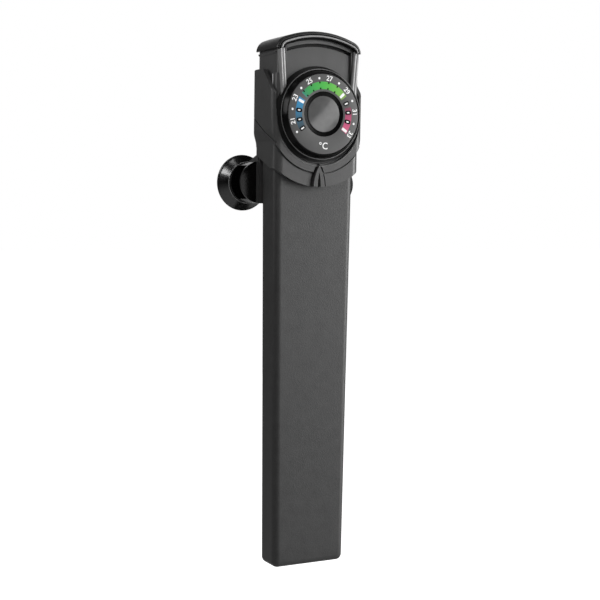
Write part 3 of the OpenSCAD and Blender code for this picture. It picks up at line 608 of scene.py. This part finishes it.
def band(start, end, inner, outer, lift):
    """Printed sector between two readings: x = r sin a, z = r cos a, with the reading kept as
    the U of its map, where 20 is 0 and 33 is 1."""
    reading = np.linspace(start, end, max(8, int((end - start) * 8)))
    angle = (reading - TOP_READING) * DEGREE
    r, a = np.meshgrid(np.array([inner, outer]), angle, indexing="ij")
    level = np.full_like(r, dial_face - lift)
    front = np.stack([dial_x + r * np.sin(a), level, dial_z + r * np.cos(a)], -1)
    back = front + [0, PRINT, 0]
    points = np.stack([front[0], front[1], back[1], back[0]])
    mesh = grid("band", points, round_rows=True)
    ends = bmesh.new()
    ends.from_mesh(mesh)
    bmesh.ops.holes_fill(ends, edges=ends.edges)
    bmesh.ops.recalc_face_normals(ends, faces=ends.faces)
    ends.to_mesh(mesh)
    ends.free()
    corners = np.empty(len(mesh.loops), np.int32)
    mesh.loops.foreach_get("vertex_index", corners)
    place = np.empty(len(mesh.vertices) * 3)
    mesh.vertices.foreach_get("co", place)
    x, z = (place.reshape(-1, 3)[corners] - [dial_x, 0, dial_z]).T[[0, 2]]
    reading = TOP_READING + np.arctan2(x, z) / DEGREE
    away = (np.hypot(x, z) - inner) / (outer - inner)
    layer = mesh.uv_layers.new(name="reading")
    layer.data.foreach_set("uv", np.column_stack([(reading - 20) / 13, away]).ravel())
    return mesh


def scale_ink():
    """Printed colours of the scale, from cold blue over green to red, by the reading in the U
    of the map."""
    paint = Paint("scale ink", Specular_IOR_Level=0.4)
    across = paint.node("ShaderNodeUVMap", {"uv_map": "reading"})
    reading = paint.node("ShaderNodeSeparateXYZ", {}, {0: across})
    colour = paint.ramp(reading, [
        (0.0, shade(28, 52, 62)), (0.08, shade(24, 84, 110)), (0.2, shade(20, 128, 176)),
        (0.26, shade(34, 150, 205)), (0.3, shade(24, 140, 92)), (0.36, shade(30, 158, 66)),
        (0.5, shade(58, 180, 56)), (0.62, shade(98, 190, 62)), (0.7, shade(128, 176, 70)),
        (0.78, shade(110, 120, 60)), (0.8, shade(96, 44, 62)), (0.86, shade(160, 48, 92)),
        (0.94, shade(196, 62, 112)), (1.0, shade(206, 86, 128))])
    fleck = paint.noise(0.35 * MM, 3.0, 0.6)
    paint.feed("Base Color", paint.blend(fleck * 0.25, colour, (0.02, 0.02, 0.02, 1)))
    paint.uneven_gloss(fleck, 0.15, 0.435)
    return paint.material


def printed(name, meshes, material):
    """One printed piece of the dial from several meshes."""
    whole = bmesh.new()
    for mesh in meshes:
        whole.from_mesh(mesh)
    total = bpy.data.meshes.new(name)
    whole.to_mesh(total)
    whole.free()
    link(name, total, "dial", "scale_print", material)


def dial_print():
    """Colour bands, dashes at every degree, numbers at the odd ones and dots at the even ones."""
    inner, outer, marks, text = 11.6 * MM, 15.0 * MM, [13.2 * MM], 16.7 * MM
    edges = [inner + 0.3 * MM, outer - 0.3 * MM]
    spans = ((20.1, 23.3), (23.75, 29.35), (30.45, 33.2))
    printed("scale_bands", [band(a, b, inner, outer, PRINT) for a, b in spans], scale_ink())
    dark = plates(1.9, 3.2, 0.8, (20, 21, 22, 30, 31, 32), marks, 2 * PRINT)
    dark += plates(0.7, 0.9, 0.2, range(24, 29), edges, 2 * PRINT)
    printed("scale_dark_marks", dark, black_ink)
    white = plates(0.65, 1.8, 0.25, (20, 30), marks, 3 * PRINT)
    white += plates(0.6, 1.3, 0.28, (21, 22, 31, 32), marks, 3 * PRINT)
    white += plates(1.3, 2.9, 0.3, (23, 29, 33), marks, 3 * PRINT)
    white += plates(1.1, 1.1, 0.54, range(20, 33, 2), [text], PRINT)
    white += [numeral(str(reading), 3.3 * MM, reading, text) for reading in range(21, 34, 2)]
    white.append(numeral("°C", 4.4 * MM, TOP_READING, -15.0 * MM))
    printed("scale_white_print", white, white_ink)


def knob_body():
    """Turned knob: a fluted flange, a cone up to the rim lip, and the seat of the scale disc.
    The flutes draw the flange's radius in by d (1 - cos n a)^2 / 4 where the profile lies on the
    flange."""
    flutes, deep = 72, 0.3 * MM
    hub, hub_back = 7 * MM, dial_face - knob_high.y
    back, cone = -3.75 * MM, -2.7 * MM
    edge, lip, seat = grip_radius, dial_face - knob_low.y, -0.8 * MM
    lip_inner, lip_outer = scale_radius + 0.12 * MM, scale_radius + 0.62 * MM
    outline = softened([
        (0, hub_back), (hub, hub_back), (hub, back), (edge - 0.3 * MM, back),
        (edge, back + 0.3 * MM), (edge, cone - 0.35 * MM), (edge - 0.35 * MM, cone),
        (edge - 0.75 * MM, cone + 0.1 * MM), (scale_radius + 0.95 * MM, -0.6 * MM),
        (lip_outer, lip), (lip_inner, lip), (lip_inner, seat), (0, seat)], 0.15 * MM)

    def fluted(radius, forward, angle):
        on_flange = (radius > edge - 0.5 * MM) & (forward < cone + 0.02 * MM)
        return radius - on_flange * deep * (0.5 - 0.5 * np.cos(flutes * angle)) ** 2

    mesh = turned("knob_body", outline, dial_centre, flutes * 10, fluted)
    piece = link("knob_body", mesh, "dial", "dial_gloss")
    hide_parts("dial_knob")


def dial_ring(name, profile, corner, slot):
    """Ring about the dial's axis: a profile with rounded corners, closed and turned."""
    outline = softened(profile, corner)
    mesh = turned(name, np.vstack([outline, outline[:1]]), dial_centre)
    return link(name, mesh, "dial", slot)


def knob_ring():
    """Gloss groove round the centre button."""
    back, floor_inner, floor_outer, top = -0.79 * MM, -0.4 * MM, -0.3 * MM, 0.03 * MM
    wall, outside = button_radius + 1.9 * MM, button_radius + 2.02 * MM
    dial_ring("knob_ring", [
        (button_radius + 0.08 * MM, back), (button_radius + 0.1 * MM, floor_inner),
        (wall, floor_outer), (wall + 0.04 * MM, top), (outside, top), (outside, back)],
        0.06 * MM, "dial_gloss")


def scale_face():
    """Scale disc: a thin ring with softened edges."""
    inner, back = button_radius + 2.04 * MM, -0.75 * MM
    profile = [(inner, back), (inner, 0), (scale_radius, 0), (scale_radius, back)]
    piece = dial_ring("scale_face", profile, 0.08 * MM, "scale_print")
    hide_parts("scale_disc")


def centre_button():
    """Domed button: forward = h (1 - (r / R)^2) with a small turned-down edge."""
    rise = dial_face - button_low.y
    side, edge, back = button_radius - 0.02 * MM, -0.12 * MM, -0.9 * MM
    r = np.linspace(0, 1, 24) ** 0.8
    dome = np.column_stack([r * (button_radius - 0.15 * MM), rise * (1 - r ** 2)])
    rim = softened([dome[-1], (side, edge), (side, back), (0, back)], 0.1 * MM)
    mesh = turned("centre_button", np.vstack([dome[:-1], rim]), dial_centre, 144)
    piece = link("centre_button", mesh, "dial", "button_gloss")
    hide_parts("dial_button")


# ---------- Beads of painted highlight and lines of painted shade ---

def bead(name, path, radius, body, slot, material, closed=False):
    """Round bead along a path (n, 3) that stays square to Y: p + r (cos a u + sin a v), where v
    is Y and u is square to v and to the path. An open bead closes in a point at its ends."""
    if closed:
        ahead = np.roll(path, -1, 0) - np.roll(path, 1, 0)
    else:
        ahead = np.gradient(path, axis=0)
    ahead /= np.linalg.norm(ahead, axis=1, keepdims=True)
    v = np.array([0.0, 1.0, 0.0])
    u = np.cross(ahead, v)
    girth = np.full(len(path), radius)
    if not closed:
        path = np.vstack([path[:1], path, path[-1:]])
        u = np.vstack([u[:1], u, u[-1:]])
        girth = np.concatenate([[0], girth, [0]])
    a = np.linspace(0, 2 * np.pi, 12, endpoint=False)[None, :, None]
    points = path[:, None] + girth[:, None, None] * (np.cos(a) * u[:, None] + np.sin(a) * v)
    link(name, grid(name, points, closed, True), body, slot, material, crease=60)


def cap_path(inset, forward):
    """The cap's outline from the front, drawn in by an inset: a round shoulder, the arch and
    the other shoulder."""
    arch, shoulder, half = 50 * MM, 6 * MM, (cap_high.x - cap_low.x) / 2
    turn = math.asin((half - shoulder) / (arch - shoulder))
    corner = np.linspace(1.45, turn, 16)
    over = np.linspace(turn, -turn, 60)[1:-1]
    low = cap_high.z - arch
    rise = low + (arch - shoulder) * math.cos(turn)
    x = np.concatenate([half - shoulder + (shoulder - inset) * np.sin(corner),
                        (arch - inset) * np.sin(over)])
    z = np.concatenate([rise + (shoulder - inset) * np.cos(corner),
                        low + (arch - inset) * np.cos(over)])
    x = np.concatenate([x, -x[:len(corner)][::-1]]) + dial_x
    z = np.concatenate([z, z[:len(corner)][::-1]])
    return np.column_stack([x, np.full_like(x, cap_low.y + forward), z])


def circle_path(radius, y, centre_x, centre_z, start=0, end=360, steps=160):
    """Points at x = r sin a, z = r cos a about a centre, from one angle to another in degrees;
    a whole turn leaves out the last point."""
    whole = end - start == 360
    a = np.linspace(math.radians(start), math.radians(end), steps, endpoint=not whole)
    return np.column_stack([
        centre_x + radius * np.sin(a), np.full(steps, y), centre_z + radius * np.cos(a)])


def beads():
    """Beads that paint highlights and shade: a light bead between two near-black lines of painted
    groove shade along the cap's front, and light beads as painted highlights on the rear edge of
    each side rail, the rim at the back of each cup's pad, the edge of the knob's flange and the
    lip of the holder under the dial."""
    flange_depth = 2.8 * MM
    # The knob flange's edge bead is light grey: a painted highlight.
    flange = circle_path(grip_radius - 0.22 * MM, dial_face + flange_depth, dial_x, dial_z)
    bead("flange_edge", flange, 0.2 * MM, "dial", "dial_gloss", edge_highlight, closed=True)
    # The holder's lip under the dial gets a light bead: a painted highlight.
    lip_radius, lip_y, lip_z = 22.72 * MM, -39.78 * MM, dial_z - 1.5 * MM
    lip = circle_path(lip_radius, lip_y, dial_x, lip_z, 118, 242, 90)
    bead("lip_edge", lip, 0.2 * MM, "holder", "holder_plastic", edge_highlight)
    # The cap's light bead is a painted highlight, and its two near-black lines are painted shade
    # in the grooves.
    for name, inset, forward, radius, material in (
            ("cap_bead", 2.4 * MM, 0.35 * MM, 0.42 * MM, bead_highlight),
            ("cap_line_upper", 1.62 * MM, 0.78 * MM, 0.24 * MM, groove_shade_black),
            ("cap_line_lower", 3.3 * MM, 0.14 * MM, 0.4 * MM, groove_shade_black)):
        bead(name, cap_path(inset, forward), radius, "heater", "cap_plastic", material)
    rail_x, rail_y = 21.7 * MM, -33.95 * MM
    rail_z = np.linspace(dial_z + 1 * MM, dial_z + 18.2 * MM, 12)
    rim_radius, rim_y = 9.9 * MM, -6.1 * MM
    # Rail edges are light beads as painted highlights, the left brighter than the right; the pad
    # rims are light beads too, as painted highlights.
    for hand, side, finish in (("left", -1, rail_highlight), ("right", 1, edge_highlight)):
        rail = np.column_stack([
            np.full(12, dial_x + side * rail_x), np.full(12, rail_y), rail_z])
        bead(f"rail_edge_{hand}", rail, 0.5 * MM, "heater", "head_plastic", finish)
        rim = circle_path(rim_radius, rim_y, dial_x + side * CUP_OUT, 0)
        bead(f"pad_rim_{hand}", rim, 0.24 * MM, "holder", "holder_plastic", bead_highlight,
             closed=True)


# ---------- Suction cups ----------

def suction_cup(side):
    """Turned cup: a thin dished skirt from the contact rim to the hub, a neck through the pad,
    and its button. Distances are counted from the glass."""
    rim = (cup_high.x - cup_low.x) / 2
    high = cup_high.y - cup_low.y
    hub, neck, button, seat = 6.5 * MM, 3 * MM, 4.8 * MM, 6.3 * MM
    outline = softened([
        (0, 3.2 * MM), (3 * MM, 3.2 * MM), (8.5 * MM, 2.1 * MM), (rim - 1.1 * MM, 0.02 * MM),
        (rim, 0), (rim, 0.7 * MM), (rim - 0.7 * MM, 1.0 * MM), (10.4 * MM, 2.5 * MM),
        (7.4 * MM, 4.2 * MM), (hub, 5.4 * MM), (hub, seat - 0.3 * MM), (hub - 0.3 * MM, seat),
        (neck, seat), (neck, high - 3.2 * MM), (button - 0.3 * MM, high - 3.2 * MM),
        (button, high - 2.9 * MM), (button, high - 1.8 * MM), (button - 1.2 * MM, high - 0.5 * MM),
        (1.6 * MM, high), (0, high)], 0.45 * MM, 5)
    node = f"suction_cup_{side}"
    low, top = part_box(node)
    mesh = turned(node, outline, ((low.x + top.x) / 2, 0, (low.z + top.z) / 2), 128)
    piece = link(f"cup_{side}", mesh, f"cup_{side}", "cup_rubber", crease=50)
    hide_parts(node)


# ---------- Stage ----------

def make_world():
    """Even white studio: the camera and clear parts see it white all round, and gloss sees it
    white behind the object, where the backdrop stands, and dark where the room is, so that dark
    gloss stays dark."""
    world = bpy.data.worlds.new("studio")
    bpy.context.scene.world = world
    world.use_nodes = True
    nodes, links = world.node_tree.nodes, world.node_tree.links
    background = nodes["Background"]
    path = nodes.new("ShaderNodeLightPath")
    place = nodes.new("ShaderNodeTexCoord")
    parts = nodes.new("ShaderNodeSeparateXYZ")
    links.new(place.outputs["Generated"], parts.inputs[0])

    def maths(operation, first, second):
        made = nodes.new("ShaderNodeMath")
        made.operation = operation
        for socket, value in zip(made.inputs, (first, second)):
            if isinstance(value, float):
                socket.default_value = value
            else:
                links.new(value, socket)
        return made.outputs[0]

    backdrop = nodes.new("ShaderNodeMapRange")
    for name, value in (("From Min", -0.1), ("From Max", 0.5), ("To Min", 0.01), ("To Max", 0.12)):
        backdrop.inputs[name].default_value = value
    links.new(parts.outputs["Y"], backdrop.inputs["Value"])
    mirrored = maths("MULTIPLY", path.outputs["Is Glossy Ray"], backdrop.outputs["Result"])
    seen = maths("MAXIMUM", path.outputs["Is Camera Ray"], path.outputs["Is Transmission Ray"])
    fill = maths("MULTIPLY", path.outputs["Is Diffuse Ray"], 0.06)
    level = maths("MAXIMUM", maths("MAXIMUM", seen, mirrored), fill)
    links.new(level, background.inputs["Strength"])
    background.inputs["Color"].default_value = (1, 1, 1, 1)


def make_floor():
    """Plain pale floor under the foot. To the camera it is lifted to white, less its shadow: the
    lift is 0.82 below the object and grows evenly to 1 at 0.3 metres, where the lamps' light has
    faded. Gloss sees a faint lift."""
    size, drop = 6.0, 0.06
    near_lift, lift_slope, gloss_lift = 0.82, 0.6, 0.05
    mesh = bpy.data.meshes.new("floor")
    level = casing_low.z - drop
    corners = [(-size, -size, level), (size, -size, level), (size, size, level),
               (-size, size, level)]
    mesh.from_pydata(corners, [], [(0, 1, 2, 3)])
    floor = add_object("floor", mesh)
    paint = Paint("floor", Base_Color=(0.5, 0.5, 0.5, 1), Roughness=0.9, Specular_IOR_Level=0.0,
                  Emission_Color=(1, 1, 1, 1))
    seen = paint.node("ShaderNodeLightPath", output="Is Camera Ray")
    gloss = Field(paint, seen.socket.node.outputs["Is Glossy Ray"])
    away = paint.node("ShaderNodeVectorMath", {"operation": "LENGTH"}, {0: paint.place()},
                      output="Value")
    lift = (away * lift_slope + near_lift).clamped()
    paint.feed("Emission Strength", seen * lift + gloss * gloss_lift)
    mesh.materials.append(paint.material)


def softbox(name, towards, distance, size, power, centre=(0, -0.02, -0.13), roll=0.0):
    """Rectangular lamp that stands off from a centre in a direction and faces back, rolled by
    degrees."""
    data = bpy.data.lights.new(name, "AREA")
    data.shape = "RECTANGLE"
    data.size, data.size_y = size
    data.energy = power
    lamp = add_object(name, data)
    away = Vector(towards).normalized()
    lamp.location = Vector(centre) + away * distance
    lamp.rotation_mode = "QUATERNION"
    facing = away.to_track_quat("Z", "Y")
    lamp.rotation_quaternion = facing @ Quaternion((0, 0, 1), math.radians(roll))


def make_lamps():
    """Key from the right of the front, a weak one high at the left and behind, one overhead, a
    small one at the upper left for the cups, a long dim slanted one, which the centre button
    mirrors, and one behind."""
    head = (0, -0.03, 0.03)
    softbox("key", (0.84, -0.54, 0.07), 1.1, (0.5, 1.3), 24)
    softbox("left high", (-0.9, 0.35, 0.25), 0.5, (0.2, 0.25), 0.65, (0, -0.03, 0.06))
    softbox("overhead", (0.15, -0.45, 1), 0.9, (0.7, 0.3), 2.0, head)
    softbox("upper left", (-0.51, -0.69, 0.52), 1.0, (0.2, 0.3), 2.0, (-0.02, -0.01, 0))
    softbox("slanted", (0.515, -0.857, 0.04), 1.0, (0.9, 0.16), 0.5, head, 42)
    softbox("back", (0.3, 0.95, 0.25), 1.1, (0.7, 0.9), 1.5)


# ---------- The scene ----------

make_camera()
make_world()
make_floor()
make_lamps()
casing_shell()
for row in (
        ("head_housing", "head_shell", 0.3 * MM),
        ("front_panel", "panel", 0.15 * MM, panel_satin),
        ("corner_trim_left", "trim_left", 0.12 * MM),
        ("corner_trim_right", "trim_right", 0.12 * MM),
        ("top_cap", "cap_shell", 0.25 * MM),
        ("cap_gasket", "cap_seal", 0.1 * MM),
        ("holder", "holder_shell", 0.35 * MM),
        ("gland_body", "gland", 0.4 * MM),
        ("gland_nut", "nut", 0.3 * MM),
        ("gland_bush", "bush", 0.25 * MM)):
    dressed(*row)
knob_body()
knob_ring()
scale_face()
centre_button()
dial_print()
beads()
suction_cup("left")
suction_cup("right")

for node_name, node in frame["nodes"].items():
    node.data.materials.clear()
    node.data.materials.append(finishes[slot_of[node_name]])

settings = bpy.context.scene.view_settings
settings.view_transform = "Standard"
